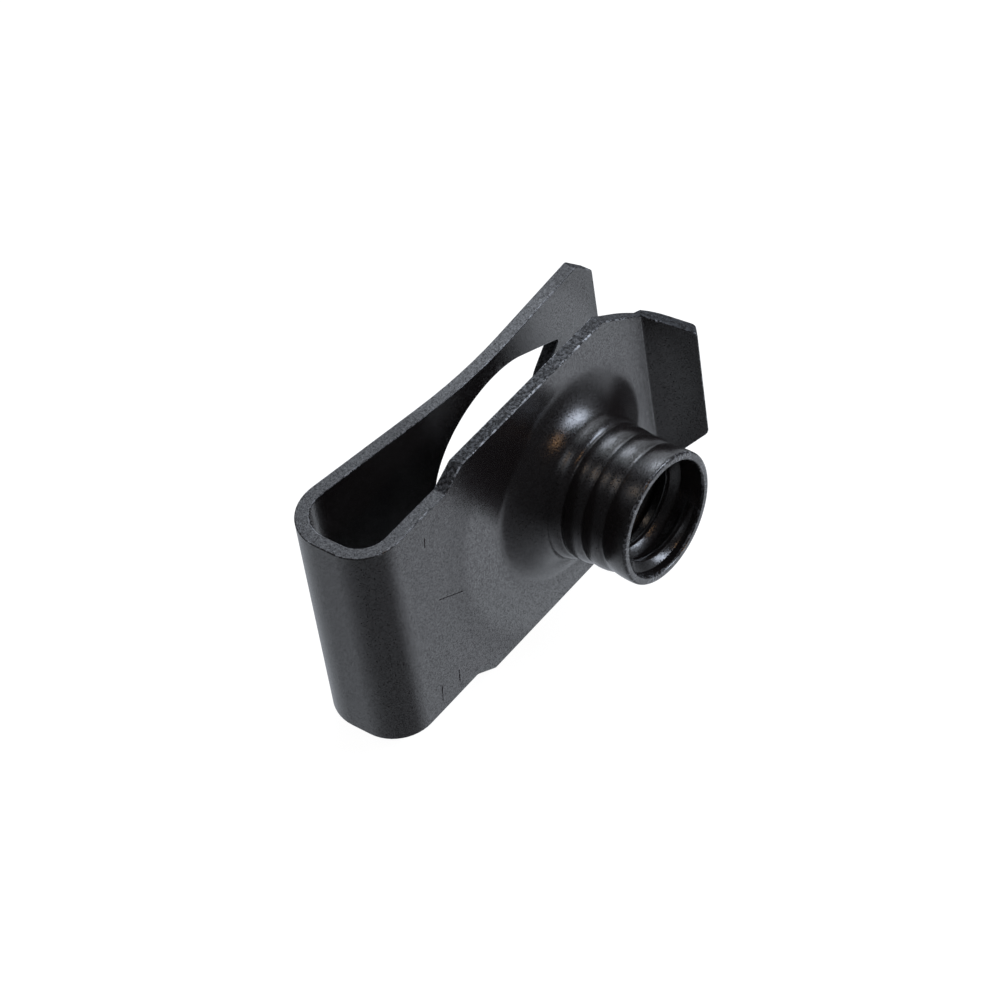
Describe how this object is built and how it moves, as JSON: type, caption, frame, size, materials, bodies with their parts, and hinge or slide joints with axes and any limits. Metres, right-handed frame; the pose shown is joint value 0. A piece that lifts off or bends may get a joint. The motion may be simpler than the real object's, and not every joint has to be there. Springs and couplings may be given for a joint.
{
  "type": "retainer nut",
  "caption": "Folded spring-steel clip nut with a threaded barrel drawn from one leg, a clearance hole in the other and a flared tip.",
  "frame": {"origin": "on the thread axis, in the plane of the barrel's rim", "axes": "+Y along the thread axis from the rim to the plate and on to the back leg, +X from the fold to the open tips, +Z across the strip"},
  "size_m": [0.0251, 0.0124, 0.015],
  "materials": {
    "steel": "satin black coating over spring steel"
  },
  "bodies": {
    "root": {"barrel_clip_nut": "steel"}
  },
  "joints": []
}
